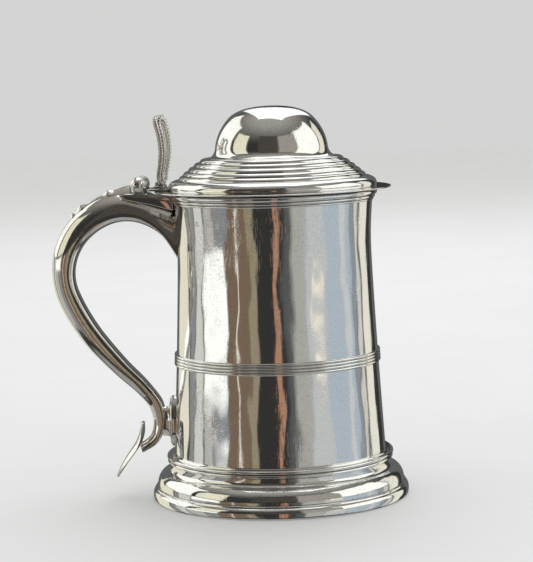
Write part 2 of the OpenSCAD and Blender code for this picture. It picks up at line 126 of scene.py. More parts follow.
def silver(name, colour, polish=0.07, smudge=0.08, waves=0.10, waveStretch=(46, 46, 13),
           hair=0.7, shadeAndTarnish=0.8, reach=2.2, tarnishAndShadeColour=(0.10, 0.075, 0.055, 1), marked=0):
    # polish: roughness when clean; waves: depth of the slow dents in mm; reach: how far
    # a hollow has to be closed in, in mm, before it is painted dark as tarnish and painted shade;
    # marked: radius at the marks
    mat = bpy.data.materials.new(name)
    mat.use_nodes = True
    tree = mat.node_tree
    tree.nodes.clear()
    place = Wire.make(tree, "ShaderNodeTexCoord", out=3)
    hairs = None
    for turn, stretch in hairSets:
        one = noise(tree, place, stretch, turn, 1.0).between(0.58, 0.74)
        hairs = one if hairs is None else hairs + one
    patches = noise(tree, place, (55, 55, 30), detail=5.0).between(0.42, 0.68)
    bloom = noise(tree, place, (210, 210, 210), detail=6.0).between(0.45, 0.75)
    # ambient occlusion darkens closed-in hollows and the gaps between parts: this is painted shade in
    # the base colour, standing also for real tarnish there
    closed = Wire.make(tree, "ShaderNodeAmbientOcclusion", {"samples": 6},
                       {"Distance": reach * mm}, 1)
    hollowShadeAndTarnish = closed.between(0.62, 0.18) * (0.75 + 0.25 * bloom)
    fine = noise(tree, place, (900, 900, 1500), (20, 0, 0), 3.0).between(0.40, 0.72)
    worn = (patches * 0.5 + 0.5) * fine
    clean = worn.dyed(colour, [c * 0.8 for c in colour[:3]] + [1])
    # the hollows are painted with the brown-black colour of tarnish and painted shade
    base = (hollowShadeAndTarnish * shadeAndTarnish).dyed(clean, tarnishAndShadeColour)
    rough = polish + smudge * patches * bloom + 0.05 * hairs + 0.3 * hollowShadeAndTarnish * shadeAndTarnish
    slow = noise(tree, place, waveStretch, detail=1.5)
    quick = noise(tree, place, [2.2 * c for c in waveStretch], (0, 0, 40), 1.0)
    height = slow * waves + quick * (0.4 * waves) + hairs * patches * (0.008 * hair)
    if marked:
        punched = struck(tree, place, marked)
        height = height - punched * 0.3
        rough = rough + punched * 0.15
    bumped = Wire.make(tree, "ShaderNodeBump", None,
                       {"Strength": 1.0, "Distance": mm, "Height": height})
    skin = Wire.make(tree, "ShaderNodeBsdfPrincipled", None,
                     {"Base Color": base, "Metallic": 1.0, "Roughness": rough,
                      "Normal": bumped})
    Wire.make(tree, "ShaderNodeOutputMaterial", None, {"Surface": skin})
    return mat


bodySilver = silver("bodySilver", (0.92, 0.915, 0.90, 1), polish=0.05, waves=0.85,
                    waveStretch=(40, 40, 17), hair=1.0, marked=48.4)
mouldSilver = silver("mouldSilver", (0.93, 0.925, 0.91, 1), waveStretch=(60, 60, 60),
                     reach=1.6, shadeAndTarnish=0.9)
lidSilver = silver("lidSilver", (0.92, 0.91, 0.89, 1), waves=0.2, waveStretch=(45, 45, 45))
handleSilver = silver("handleSilver", (0.91, 0.89, 0.85, 1), waveStretch=(70, 70, 70))
# cast pieces: their hollows and the gaps between beads get the darkest painted shade, together with
# tarnish
castSilver = silver("castSilver", (0.97, 0.96, 0.92, 1), polish=0.2, waves=0.02,
                    waveStretch=(200, 200, 200), hair=0.2, reach=1.5, shadeAndTarnish=1.0,
                    tarnishAndShadeColour=(0.035, 0.03, 0.026, 1))
# the inside is darkened with painted shade and tarnish wherever it is closed in, out to 6 mm
innerSilver = silver("innerSilver", (0.82, 0.80, 0.76, 1), polish=0.22, smudge=0.15,
                     waves=0.08, shadeAndTarnish=0.5, reach=6)
pinSteel = silver("pinSteel", (0.60, 0.60, 0.61, 1), polish=0.3, waves=0.01, shadeAndTarnish=0.6)
print("stage: finishes mixed")


def settled(obj, finish):
    mesh = obj.data
    mesh.materials.clear()
    mesh.materials.append(finish)
    mesh.shade_smooth()
    mesh.set_sharp_from_angle(angle=creaseAngle)
    return obj


def meshed(name, points, faces, finish):
    # points in mm; doubles are merged and every face is turned outwards
    mesh = bpy.data.meshes.new(name)
    mesh.from_pydata([Vector(p) * mm for p in points], [], faces)
    bm = bmesh.new()
    bm.from_mesh(mesh)
    bmesh.ops.remove_doubles(bm, verts=bm.verts, dist=0.002 * mm)
    bmesh.ops.recalc_face_normals(bm, faces=bm.faces)
    bm.to_mesh(mesh)
    bm.free()
    obj = bpy.data.objects.new(name, mesh)
    scene.collection.objects.link(obj)
    return settled(obj, finish)


def skinned(name, rings, finish, looped=False):
    # rings of equal count; ends are laced shut unless the rings close on themselves
    count, around = len(rings), len(rings[0])
    points = [p for ring in rings for p in ring]
    faces = []
    for i in range(count if looped else count - 1):
        k = (i + 1) % count
        for j in range(around):
            l = (j + 1) % around
            faces.append((i * around + j, i * around + l, k * around + l, k * around + j))
    if not looped:
        for start in (0, (count - 1) * around):
            for j in range(around // 2):
                lace = [j, j + 1, around - 2 - j, around - 1 - j]
                lace = list(dict.fromkeys(lace))
                if len(lace) > 2:
                    faces.append(tuple(start + v for v in lace))
    return meshed(name, points, faces, finish)


def newTree(name, sizes):
    # a Geometry Nodes tree with the sizes named as inputs, given as (name, kind, value)
    tree = bpy.data.node_groups.new(name, "GeometryNodeTree")
    face = tree.interface
    face.new_socket("Geometry", in_out="INPUT", socket_type="NodeSocketGeometry")
    face.new_socket("Geometry", in_out="OUTPUT", socket_type="NodeSocketGeometry")
    for label, kind, value in sizes:
        socket = face.new_socket(label, in_out="INPUT", socket_type="NodeSocket" + kind)
        if value is not None:
            socket.default_value = value
    node = tree.nodes.new("NodeGroupInput")
    given = {s.name: Wire(tree, s) for s in node.outputs if s.name}
    return tree, given


def ended(tree, shape, finish):
    # every tree ends in Realize Instances and Set Material
    real = Wire.make(tree, "GeometryNodeRealizeInstances", None, {"Geometry": shape})
    dressed = Wire.make(tree, "GeometryNodeSetMaterial", None,
                        {"Geometry": real, "Material": finish})
    out = tree.nodes.new("NodeGroupOutput")
    tree.links.new(dressed.socket, out.inputs[0])
    return tree


def grown(obj, tree, sizes, finish):
    # runs a tree on an object, keeps the result as a plain mesh and drops the modifier
    live = obj.modifiers.new(tree.name, "NODES")
    live.node_group = tree
    for item in tree.interface.items_tree:
        if item.in_out == "INPUT" and item.name in sizes:
            live[item.identifier] = sizes[item.name]
    bpy.context.view_layer.update()
    depsgraph = bpy.context.evaluated_depsgraph_get()
    result = bpy.data.meshes.new_from_object(obj.evaluated_get(depsgraph))
    obj.modifiers.remove(live)
    obj.data = result
    result.name = obj.name
    return settled(obj, finish)


def polylines(name, runs, closed):
    # an object of bare edges; runs are lists of points in metres
    points, edges = [], []
    for run in runs:
        first = len(points)
        points += [tuple(p) for p in run]
        edges += [(first + i, first + i + 1) for i in range(len(run) - 1)]
        if closed:
            edges.append((len(points) - 1, first))
    mesh = bpy.data.meshes.new(name)
    mesh.from_pydata(points, edges, [])
    obj = bpy.data.objects.new(name, mesh)
    scene.collection.objects.link(obj)
    return obj


# the lathe: a section in the XY plane is carried round a circle and its poles are closed
latheRadius = 0.05
latheTree, given = newTree("lathe", [("Radius", "Float", latheRadius), ("Segments", "Int", 256),
                                     ("Finish", "Material", None)])
section = Wire.make(latheTree, "GeometryNodeMeshToCurve", None, {"Mesh": given["Geometry"]})
circle = Wire.make(latheTree, "GeometryNodeCurvePrimitiveCircle", None,
                   {"Resolution": given["Segments"], "Radius": given["Radius"]})
swept = Wire.make(latheTree, "GeometryNodeCurveToMesh", None,
                  {"Curve": circle, "Profile Curve": section})
joined = Wire.make(latheTree, "GeometryNodeMergeByDistance", None,
                   {"Geometry": swept, "Distance": 0.001 * mm})
ended(latheTree, joined, given["Finish"])


def turned(name, outline, finish, segments):
    # outline in mm as (radius, height), running down the outside of the piece
    onAxis = outline[0][0] == 0
    run = [(r * mm - latheRadius, -z * mm, 0) for r, z in outline]
    obj = polylines(name, [run], not onAxis)
    return grown(obj, latheTree,
                 {"Radius": latheRadius, "Segments": segments, "Finish": finish}, finish)


def stand(obj, body, slot, *nodes):
    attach(obj, body)
    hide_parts(*nodes)


# lines and curves, in mm
def bezier(a, b, c, d, steps):
    a, b, c, d = (np.array(p, float) for p in (a, b, c, d))
    return [tuple((1 - t) ** 3 * a + 3 * (1 - t) ** 2 * t * b
                  + 3 * (1 - t) * t * t * c + t ** 3 * d)
            for t in np.linspace(0, 1, steps + 1)]


def arc(centre, radius, start, end, steps):
    return [(centre[0] + radius * math.cos(math.radians(a)),
             centre[1] + radius * math.sin(math.radians(a)))
            for a in np.linspace(start, end, steps + 1)]


def spline(rows, u):
    rows = np.asarray(rows, float)
    last = len(rows) - 1
    i = min(max(int(math.floor(u)), 0), last - 1)
    t = u - i
    before, here = rows[max(i - 1, 0)], rows[i]
    after, beyond = rows[i + 1], rows[min(i + 2, last)]
    return 0.5 * (2 * here + (after - before) * t
                  + (2 * before - 5 * here + 4 * after - beyond) * t * t
                  + (3 * here - before - 3 * after + beyond) * t ** 3)


def lobe(s, centre, width):
    return math.exp(-((s - centre) / width) ** 2)


# drum
# taper and flare: how late the wall bends below and above its waist
drum = {"footRadius": 53, "waistRadius": 47.9, "mouthRadius": 49.7, "waist": 125, "mouth": 151.8,
        "taper": 1.25, "flare": 2, "wall": 0.9, "bottom": 17, "footTop": 18.2, "floor": 20,
        "floorThick": 1, "floorRound": 3, "floorSag": 0.05, "sagRadius": 20}


def drumRadius(z):
    if z < drum["waist"]:
        fall = (drum["waist"] - z) / (drum["waist"] - drum["footTop"])
        return drum["waistRadius"] + (drum["footRadius"] - drum["waistRadius"]) * fall ** drum["taper"]
    rise = (z - drum["waist"]) / (drum["mouth"] - drum["waist"])
    return drum["waistRadius"] + (drum["mouthRadius"] - drum["waistRadius"]) * rise ** drum["flare"]


edge = drum["wall"] / 2
heights = np.linspace(drum["mouth"] - edge, drum["bottom"], 70)
brim = arc((drum["mouthRadius"] - edge, drum["mouth"] - edge), edge, 0, 180, 8)
outside = [(drumRadius(z), z) for z in heights]
inside = [(drumRadius(z) - drum["wall"], z) for z in heights[::-1]]
drumWall = turned("drumWall", outside + inside + brim[1:-1][::-1], bodySilver, 320)
stand(drumWall, "tankard", "polished_silver", "drum")

floorRadius = drumRadius(drum["floor"]) - drum["wall"] + 0.2
bend = drum["floorRound"]
floorTop = [(0, drum["floor"]), (drum["sagRadius"], drum["floor"] - drum["floorSag"]),
            (floorRadius - bend, drum["floor"])]
floorTop += arc((floorRadius - bend, drum["floor"] + bend), bend, -90, -8, 8)[1:]
floorUnder = [(floorRadius, drum["floor"] - drum["floorThick"]),
              (0, drum["floor"] - drum["floorThick"])]
drumFloor = turned("drumFloor", floorTop + floorUnder, innerSilver, 192)
stand(drumFloor, "tankard", "inner_silver", "drum_floor")
print("stage: drum turned")

# mouldings round the drum
girdle = {"bottom": 66.8, "reed": 0.74, "reeds": 4, "stand": 1.5}
lip = {"bottom": 146.4, "reeds": [(51.5, 4.0, 1.3), (50.4, 1.9, 0.8), (49.7, 0.5, 0.5)]}
footWire = {"bottom": 18.2, "reeds": [(56.5, 2.9, 0.9), (56.2, 0.9, 0.9)]}
sunk = 0.35                       # how far a moulding is let into the drum's wall, in mm


def reeded(base, reeds, above=()):
    # reeds from the top down, each (outer radius, height above base, own radius)
    top, bottom = base + reeds[0][1] + reeds[0][2], base + reeds[-1][1] - reeds[-1][2]
    run = [(drumRadius(top) - sunk, above[0][1] if above else top)] + list(above)
    for radius, height, own in reeds:
        run += arc((radius - own, base + height), own, 88, -88, 14)
    return run + [(drumRadius(bottom) - sunk, bottom)]


girdleReeds = []
for row in range(girdle["reeds"])[::-1]:
    height = (2 * row + 1) * girdle["reed"]
    out = drumRadius(girdle["bottom"] + height) + girdle["stand"] * girdle["reed"]
    girdleReeds.append((out, height, girdle["reed"]))
girdleBand = turned("girdleBand", reeded(girdle["bottom"], girdleReeds), mouldSilver, 320)
stand(girdleBand, "tankard", "reeded_silver", "girdle")

lipBand = turned("lipBand", reeded(lip["bottom"], lip["reeds"],
                                   [(drum["mouthRadius"] - 0.1, drum["mouth"] - 0.05)]),
                 mouldSilver, 320)
stand(lipBand, "tankard", "reeded_silver", "lip_moulding")

wireFillet = [(54.0, 22.7), (54.2, 22.5), (54.3, 22.0)]
wireBand = turned("wireBand", reeded(footWire["bottom"], footWire["reeds"], wireFillet),
                  mouldSilver, 320)
stand(wireBand, "tankard", "reeded_silver", "foot_wire")

# foot
foot = {"rim": 6.4, "top": drum["footTop"]}
cove = bezier((55.6, foot["top"]), (54.9, 15.4), (55.9, 14.6), (57.2, 13.9), 12)
ovolo = bezier((57.2, 13.9), (60.2, 12.9), (61.4, 10.2), (61.6, 7.2), 18)
footUnder = bezier((60.6, 7.4), (60.4, 10), (59.4, 12), (56.6, 12.9), 10)
shell = cove + ovolo[1:] + [(61.6, 6.6), (61.4, foot["rim"]), (60.8, foot["rim"]), (60.6, 6.6)]
shell += footUnder + [(54.6, 14), (52, 15.6), (52, foot["top"])]
footShell = turned("footShell", shell, bodySilver, 320)
stand(footShell, "tankard", "polished_silver", "foot_shell")

rimSide = bezier((62.6, 5.25), (63.8, 4.7), (64.2, 2.4), (63.5, 0.35), 16)
rim = [(60.6, 6.2), (60.9, 6.4), (62.1, 6.4), (62.35, 6.2), (62.4, 5.5)] + rimSide
rim += [(63.2, 0.06), (62.9, 0), (61.6, 0), (61.35, 0.2), (61.6, 3.6), (60.5, 5.2)]
footRim = turned("footRim", rim, bodySilver, 320)
stand(footRim, "tankard", "polished_silver", "foot_rim")
print("stage: foot and mouldings turned")

# handle
# rows from the drum to the tail: seam x and z, crest x and z, swell of the strap, half width
handle = {"wall": 0.9, "stations": 190, "seamGap": 0.22, "rows": [
    [47.6, 121.3, 49.0, 143.4, 2.8, 8.6], [55.4, 132.9, 59.3, 148.0, 3.0, 8.4],
    [65.1, 139.6, 67.0, 151.0, 3.1, 8.2], [75.2, 141.3, 76.5, 152.6, 3.1, 8.0],
    [85.6, 138.3, 89.4, 148.8, 3.0, 7.8], [94.9, 131.0, 102.2, 138.8, 2.6, 7.6],
    [100.6, 121.2, 109.9, 124.8, 2.2, 7.4], [102.0, 110.2, 111.3, 111.0, 1.9, 7.2],
    [98.6, 99.4, 107.9, 96.8, 1.6, 6.9], [90.0, 84.6, 97.3, 78.6, 1.3, 6.4],
    [77.6, 69.0, 83.4, 63.4, 1.1, 5.8], [67.8, 58.8, 73.1, 54.1, 0.9, 5.3],
    [62.6, 52.6, 68.4, 49.4, 0.8, 5.0]]}
tail = {"stations": 70, "rows": [
    [62.6, 52.6, 68.4, 49.4, 0.8, 5.0], [58.9, 46.6, 65.0, 44.6, 0.8, 4.8],
    [57.8, 38.4, 63.2, 37.8, 0.8, 4.6], [59.6, 30.8, 64.2, 31.8, 0.8, 4.4],
    [63.2, 25.9, 66.8, 28.6, 0.8, 4.2], [69.0, 22.6, 70.2, 26.6, 0.8, 3.8]]}


def handlePoint(row, angle, inset=0.0, lift=0.0):
    # 0 to 180 runs over the rounded back, 180 to 360 under the strap
    seam, crest = np.array(row[0:2]), np.array(row[2:4])
    depth = np.linalg.norm(crest - seam)
    a = math.radians(angle)
    up = (depth - inset + lift) * math.sin(a) if angle <= 180 else row[4] * math.sin(a)
    place = seam + (crest - seam) / depth * up
    return (-place[0], (row[5] - inset) * math.cos(a), place[1])


def onDrum(point):
    x, y, z = point
    return (-math.sqrt(drumRadius(z) ** 2 - y * y) + 0.15, y, z)


def handleRings(ring):
    rings = []
    for i in range(handle["stations"] + 1):
        row = spline(handle["rows"], i / handle["stations"] * (len(handle["rows"]) - 1))
        points = ring(row)
        rings.append([onDrum(p) for p in points] if i == 0 else points)
    return rings


backAngles = np.linspace(0, 180, 41)
strapAngles = np.linspace(180, 360, 25)


def backRing(row):
    outer = [handlePoint(row, a) for a in backAngles]
    inner = [handlePoint(row, a, handle["wall"]) for a in backAngles[::-1]]
    return outer + inner


def strapRing(row):
    narrow = list(row)
    narrow[5] = row[5] - handle["seamGap"]
    under = [handlePoint(narrow, a) for a in strapAngles]
    seam = [(-row[0], narrow[5] * math.cos(math.radians(a)), row[1])
            for a in np.linspace(0, 180, 25)[1:-1]]
    return under + seam


def tailRing(row):
    return [handlePoint(row, a) for a in np.linspace(0, 360, 41)[:-1]]


handleBack = skinned("handleBack", handleRings(backRing), handleSilver)
stand(handleBack, "tankard", "handle_silver", "handle_back")
handleStrap = skinned("handleStrap", handleRings(strapRing), handleSilver)
stand(handleStrap, "tankard", "handle_silver", "handle_strap")
tailRings = [tailRing(spline(tail["rows"], u)) for u in
             np.linspace(0, len(tail["rows"]) - 1, tail["stations"] + 1)]
handleTail = skinned("handleTail", tailRings, handleSilver)
stand(handleTail, "tankard", "handle_silver", "handle_tail")

# the drop lies along the crest and climbs to the hinge, rising by climb over the first ramp
# of it; three lobes stand on it, given as place along it, spread, height and width
drop = {"start": 2.4, "end": 5.0, "stations": 190, "across": 23, "ramp": 0.4, "climb": 3.3,
        "ease": 1.2, "height": 0.9, "sink": 0.8, "width": 0.62, "narrow": 0.3, "widen": 0.7,
        "edge": 0.15, "round": 2.9, "spread": 30,
        "lobes": [(0.39, 0.055, 1.3, 0.2), (0.79, 0.045, 1.3, 0.16), (0.92, 0.03, 1.0, 0.12)]}


def dropRing(s):
    row = spline(handle["rows"], drop["start"] + (drop["end"] - drop["start"]) * s)
    climb = max(0, 1 - s / drop["ramp"]) ** drop["ease"]
    height = drop["height"] + drop["climb"] * climb - drop["sink"] * s ** 8
    width = drop["width"] - drop["narrow"] * s + drop["widen"] * climb
    for centre, spread, tall, wide in drop["lobes"]:
        height += tall * lobe(s, centre, spread)
        width += wide * lobe(s, centre, spread * 1.1)
    turns = np.linspace(-drop["spread"], drop["spread"], drop["across"])
    over = []
    for off in turns:
        fall = math.cos(math.radians(off * drop["round"]))
        over.append(handlePoint(row, 90 + off * width, 0,
                                height * (drop["edge"] + (1 - drop["edge"]) * fall)))
    under = [handlePoint(row, 90 + off * width, drop["edge"]) for off in turns[::-1]]
    return over + under


handleDrop = skinned("handleDrop", [dropRing(s) for s in np.linspace(0, 1, drop["stations"])],
                     castSilver)
stand(handleDrop, "tankard", "reeded_silver", "handle_drop")

# the shield closes the tail: round at the top, pointed below, bowed outwards, thin at its edge
shield = {"path": [[69.3, 37.2], [69.6, 31], [71.6, 25.2], [75.4, 19.8], [79.4, 14.6],
                   [82.9, 10]],
          "half": 7, "bow": 1.9, "thick": 1.3, "rim": 0.3, "stations": 80, "across": 24}


def shieldRing(s):
    last = len(shield["path"]) - 1
    here, behind, ahead = (spline(shield["path"], u * last)
                           for u in (s, max(s - 0.02, 0), min(s + 0.02, 1)))
    run = ahead - behind
    run /= np.linalg.norm(run)
    out = np.array([-run[1], run[0]])
    half = shield["half"] * math.sin(math.pi * (0.02 + 0.965 * s) ** 0.72) ** 0.62
    bow = shield["bow"] * math.sin(math.pi * s)
    front, back = [], []
    for v in np.linspace(1, -1, shield["across"] + 1):
        full = shield["rim"] + (1 - shield["rim"]) * math.sqrt(max(0, 1 - v ** 6))
        thick = shield["thick"] * full / 2
        middle = here + out * (bow * (1 - v * v) - shield["thick"] / 2)
        face, rear = middle + out * thick, middle - out * thick
        front.append((-face[0], half * v, face[1]))
        back.append((-rear[0], half * v, rear[1]))
    return front + back[::-1]


terminalShield = skinned("terminalShield",
                         [shieldRing(s) for s in np.linspace(0, 1, shield["stations"])],
                         handleSilver)
stand(terminalShield, "tankard", "handle_silver", "terminal_shield")

# boss
# the oval plate's own steps: how far each is drawn in, and its distance from the axis
boss = {"height": 13, "width": 7.5, "middle": 37.3, "points": 96,
        "steps": [(0, None), (0, 53.3), (0.12, 53.55), (0.4, 53.7), (0.9, 53.75), (1.0, 53.9),
                  (1.1, 54.3), (1.4, 54.5), (3.9, 54.5)]}


def ovalRing(width, height, reach):
    ring = []
    for a in np.linspace(0, 2 * math.pi, boss["points"], endpoint=False):
        y, z = width * math.cos(a), boss["middle"] + height * math.sin(a)
        x = reach if reach else math.sqrt(drumRadius(z) ** 2 - y * y) - 0.3
        ring.append((-x, y, z))
    return ring


bossRings = [ovalRing(boss["width"] - drawn, boss["height"] - drawn, reach)
             for drawn, reach in boss["steps"]]
bossPlate = skinned("bossPlate", bossRings, handleSilver)
stand(bossPlate, "tankard", "polished_silver", "boss_plate")
stemRows = [(4.6, 8.4, 54.3), (4.2, 8.0, 54.9), (3.75, 7.55, 55.6), (3.6, 7.4, 56.6),
            (3.6, 7.4, 58.4)]
bossStem = skinned("bossStem", [ovalRing(w, h, x) for w, h, x in stemRows], handleSilver)
stand(bossStem, "tankard", "polished_silver", "boss_stem")
print("stage: handle, drop, shield and boss made")

# hinge
hinge = {"x": 65.8, "z": 156.5, "radius": 3.85, "pin": 1.1, "length": 15, "outer": 3.1,
         "middle": 2.6, "neck": 2.6, "gap": 0.3, "soft": 0.22, "standTop": 152.15,
         "standHalf": 7.4}


def prism(name, outline, low, high, finish, soft, axis="Y"):
    # an outline of (x, z), or (x, y) for axis Z, pushed from low to high, edges rounded
    lay = (lambda p, t: (p[0], t, p[1])) if axis == "Y" else (lambda p, t: (p[0], p[1], t))
    count = len(outline)
    points = [lay(p, low) for p in outline] + [lay(p, high) for p in outline]
    faces = [tuple(range(count)), tuple(range(2 * count - 1, count - 1, -1))]
    faces += [(i, (i + 1) % count, count + (i + 1) % count, count + i) for i in range(count)]
    obj = meshed(name, points, faces, finish)
    rounded = obj.modifiers.new("rounded", "BEVEL")
    rounded.width, rounded.segments = soft * mm, 3
    rounded.limit_method, rounded.angle_limit = "ANGLE", math.radians(30)
    bpy.context.view_layer.update()
    result = bpy.data.meshes.new_from_object(
        obj.evaluated_get(bpy.context.evaluated_depsgraph_get()))
    obj.modifiers.remove(rounded)
    obj.data = result
    return settled(obj, finish)


def knuckle(name, low, high, outline):
    # outline round the pin in mm from the pin's centre; the rings close into a bored piece
    turns = [math.atan2(z, x) for x, z in outline]
    bore = [(hinge["pin"] * math.cos(a), hinge["pin"] * math.sin(a)) for a in turns]
    soft = hinge["soft"]

    def ring(points, y, shrink=0.0):
        found = []
        for x, z in points:
            kept = 1 - shrink / math.hypot(x, z)
            found.append((-hinge["x"] + x * kept, y, hinge["z"] + z * kept))
        return found

    rings = [ring(bore, low), ring(outline, low, soft),
             ring(outline, low + 0.3 * soft, 0.3 * soft),
             ring(outline, low + soft), ring(outline, high - soft),
             ring(outline, high - 0.3 * soft, 0.3 * soft), ring(outline, high, soft),
             ring(bore, high)]
    return skinned(name, rings, lidSilver, looped=True)


def split(run, perMm=1.2):
    # puts points along the straight sides of an outline
    full = []
    for a, b in zip(run, run[1:] + run[:1]):
        far = math.dist(a, b)
        for t in np.linspace(0, 1, max(1, int(far * perMm)), endpoint=False):
            full.append((a[0] + (b[0] - a[0]) * t, a[1] + (b[1] - a[1]) * t))
    return full


def fixedOutline():
    sink = hinge["z"] - hinge["standTop"]
    neck = hinge["neck"]
    turn = math.degrees(math.asin(neck / hinge["radius"]))
    return split(arc((0, 0), hinge["radius"], -90 + turn, 270 - turn, 60)
                 + [(-neck, -sink), (neck, -sink)])


def lidOutline(reach, low, high):
    r = hinge["radius"]
    top, under = math.degrees(math.asin(high / r)), math.degrees(math.asin(low / r))
    return split([(reach, low), (reach, high)] + arc((0, 0), r, top, 360 + under, 60))


half = hinge["length"] / 2
lidTop = 153.2
leaf = {"thick": 1.2, "half": 8.2, "hingeSide": 61.5, "lidSide": 51.6}
for name, node, low, high in [("knuckleLeft", "knuckle_left", -half, -half + hinge["outer"]),
                              ("knuckleCentre", "knuckle_centre", -hinge["middle"] / 2,
                               hinge["middle"] / 2),
                              ("knuckleRight", "knuckle_right", half - hinge["outer"], half)]:
    stand(knuckle(name, low, high, fixedOutline()), "tankard", "polished_silver", node)
lidKnuckleFrom = hinge["middle"] / 2 + hinge["gap"]
lidKnuckleTo = half - hinge["outer"] - hinge["gap"]
webLow, webHigh = lidTop - hinge["z"], lidTop + leaf["thick"] - hinge["z"]
webReach = hinge["x"] - leaf["hingeSide"] + 0.4
for name, node, low, high in [
        ("lidKnuckleLeft", "lid_knuckle_left", -lidKnuckleTo, -lidKnuckleFrom),
        ("lidKnuckleRight", "lid_knuckle_right", lidKnuckleFrom, lidKnuckleTo)]:
    stand(knuckle(name, low, high, lidOutline(webReach, webLow, webHigh)), "lid",
          "polished_silver", node)

capOutline = [(0, hinge["radius"])] + arc((0, 0), hinge["radius"], 88, 14, 26)
capOutline += [(3.72, 0.75), (3.5, 0.62), (3.5, 0.42), (3.72, 0.3), (3.8, 0.12), (3.6, 0), (0, 0)]
for name, node, side in [("pinCapLeft", "pin_cap_left", -1), ("pinCapRight", "pin_cap_right", 1)]:
    cap = turned(name, capOutline, lidSilver, 96)
    upright = Matrix.Rotation(math.radians(-90 * side), 4, "X")
    cap.data.transform(Matrix.Translation((-hinge["x"] * mm, side * half * mm, hinge["z"] * mm))
                       @ upright)
    stand(cap, "tankard", "polished_silver", node)

standard = [(-76, 151.4), (-72, 149), (-58, 146), (-50, 143.6), (-48.9, 143.6), (-48.9, 148),
            (-51.6, 150.4), (-59.5, 151), (-62, hinge["standTop"]), (-72, hinge["standTop"])]
hingeStandard = prism("hingeStandard", standard, -hinge["standHalf"], hinge["standHalf"],
                      handleSilver, 0.5)
stand(hingeStandard, "tankard", "polished_silver", "hinge_standard")

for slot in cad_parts["hinge_pin"].material_slots:
    slot.material = pinSteel
print("stage: hinge made")

# lid
# slope, broad and spread: how the reeds of the stepped part lean, their radius and their sweep
lid = {"base": 152.0, "top": lidTop, "domeBase": 167.8, "wall": 1.0, "slope": 54, "broad": 2.3,
       "spread": 43, "bezel": 4.8}
nose = bezier((57.9, 1.2), (58.25, 1.2), (58.4, 1.05), (58.4, 0.85), 6)
nose += bezier((58.4, 0.85), (58.4, 0.65), (58.25, 0.5), (57.9, 0.48), 6)[1:]
flange = [(45.3, 1.2), (52, 1.2)] + nose + [(52.6, 0), (50, 0), (45.3, 0)]
lidFlange = turned("lidFlange", [(r, z + lid["base"]) for r, z in flange], lidSilver, 320)
stand(lidFlange, "lid", "polished_silver", "lid_flange")

# the same reeds from the top down: outer radius, height above the flange, and how far in from
# the outer radius their middle height is taken
stepReeds = [(35.2, 14.0, 1.1), (38.2, 12.1, 1.15), (41.0, 10.0, 1.15), (43.6, 7.9, 1.1),
             (45.8, 5.9, 1.05)]
lean = math.radians(lid["slope"])
steps = [(25.8, 14.6), (32.6, 14.6)]
for radius, height, own in stepReeds:
    back = lid["broad"] - own
    middle = (radius - own - back * math.cos(lean), height - back * math.sin(lean))
    steps += arc(middle, lid["broad"], lid["slope"] + lid["spread"], lid["slope"] - lid["spread"],
                 14)
steps += bezier((46.4, 5.2), (50.4, 4.9), (52.2, 2.6), (51.3, 0), 18)
steps += [(50.2, 0), (50.3, 2.2), (49.2, 4), (45.8, 4.2), (33, 13.6), (25.8, 13.6)]
lidSteps = turned("lidSteps", [(r, z + lid["top"]) for r, z in steps], mouldSilver, 320)
stand(lidSteps, "lid", "reeded_silver", "lid_steps")

crown = bezier((0, 25.8), (8.5, 25.8), (16.6, 24.5), (20.8, 20.1), 26)
side = bezier((20.8, 20.1), (24.6, 16.1), (27.0, 11.3), (27.7, 6.2), 20)
flare = bezier((27.7, 6.2), (27.95, 3.6), (28.9, 1.7), (31.2, 0.8), 16)
hem = [(31.4, 0.6), (31.4, 0.1), (31.2, 0), (27, 0)]
under = [(r - lid["wall"], z) for r, z in side[::-1]]
under += [(r * 0.955, z - lid["wall"]) for r, z in crown[1:-1][::-1]] + [(0, 24.8)]
domeRun = crown + side[1:] + flare[1:] + hem + under
lidDome = turned("lidDome", [(r, z + lid["domeBase"]) for r, z in domeRun], lidSilver, 256)
stand(lidDome, "lid", "polished_silver", "lid_dome")

bezel = [(45.3, lid["bezel"]), (46.5, lid["bezel"]), (46.2, 0.6), (45.9, 0.2), (45.4, 0), (45.1, 0.4)]
lidBezel = turned("lidBezel", [(r, z + lid["base"] - lid["bezel"]) for r, z in bezel],
                  innerSilver, 256)
stand(lidBezel, "lid", "inner_silver", "lid_bezel")

leafEnd = [(-math.sqrt(leaf["lidSide"] ** 2 - y * y), y)
           for y in np.linspace(-leaf["half"], leaf["half"], 17)]
leafOutline = leafEnd + [(-leaf["hingeSide"], leaf["half"]), (-leaf["hingeSide"], -leaf["half"])]
lidLeaf = prism("lidLeaf", leafOutline, lidTop, lidTop + leaf["thick"], lidSilver, 0.3, axis="Z")
stand(lidLeaf, "lid", "polished_silver", "lid_leaf")
print("stage: lid turned")

# thumbpiece
# the eyes draw in towards the foot: their breadth is scaled by narrow, and by widen more at
# the top
thumb = {"base": lidTop + leaf["thick"], "height": 36, "half": 12, "sweep": 3.4,
         "front": [53.2, 52.3, 51, 50.2, 50.3, 51.2, 52.8], "narrow": 0.74, "widen": 0.27,
         "eyeOut": 6.1, "eyeRadius": 4.1, "eyeSide": 22.4, "eyeMiddle": 19.2, "stations": 132,
         "beads": 40, "bead": 1.5, "fineBeads": 62, "fineBead": 0.95}
